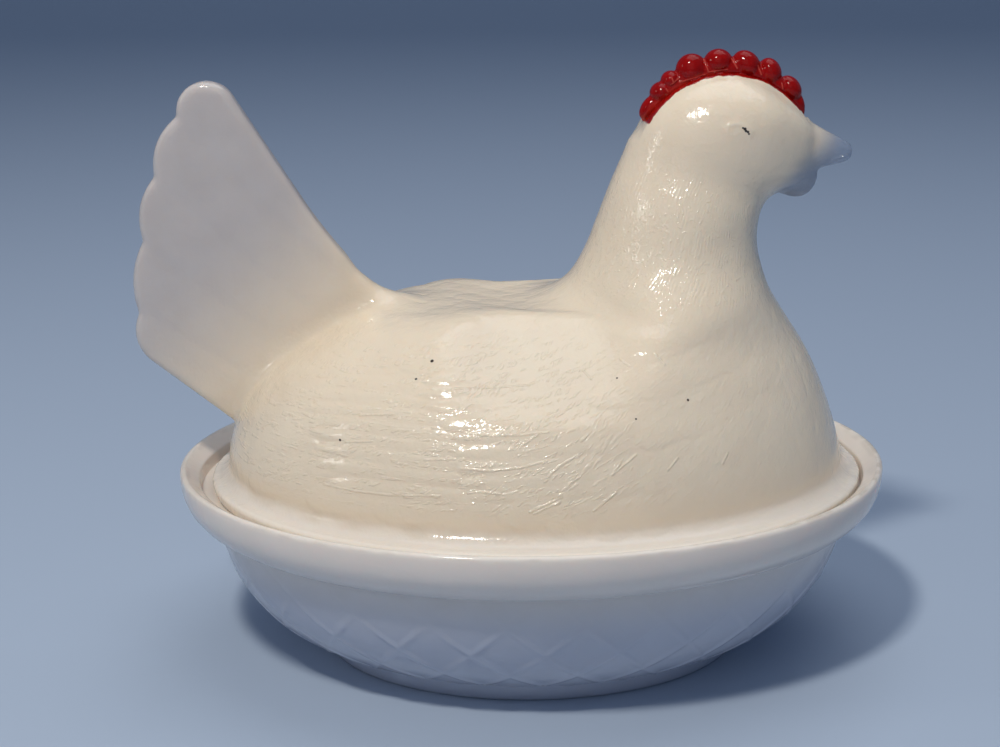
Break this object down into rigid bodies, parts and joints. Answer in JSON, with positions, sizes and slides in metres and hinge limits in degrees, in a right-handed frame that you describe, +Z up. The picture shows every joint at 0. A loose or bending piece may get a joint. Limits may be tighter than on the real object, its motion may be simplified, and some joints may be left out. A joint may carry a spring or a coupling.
{
  "type": "hen on nest dish",
  "caption": "Oval covered dish in opaque milk glass, with a loose hollow lid shaped as a sitting hen with an upright fan tail and a red beaded comb.",
  "frame": {"origin": "middle of the underside of the dish's foot ring", "axes": "+X from the tail towards the beak, along the dish's long axis, +Y to the hen's left across the dish, +Z up"},
  "size_m": [0.1873, 0.14, 0.1511],
  "materials": {
    "dish_glass": "opaque white pressed milk glass, glossy",
    "lid_glass": "opaque cream white pressed milk glass, glossy",
    "red_enamel": "glossy deep red enamel coat"
  },
  "bodies": {
    "nest": {"nest_dish": "dish_glass"},
    "lid": {"hen_lid": "lid_glass", "comb_enamel": "red_enamel"}
  },
  "joints": [
    {"name": "lid_lift", "type": "slide", "parent": "nest", "child": "lid", "axis": [0, 0, 1], "range_m": [0, 0.1]}
  ]
}
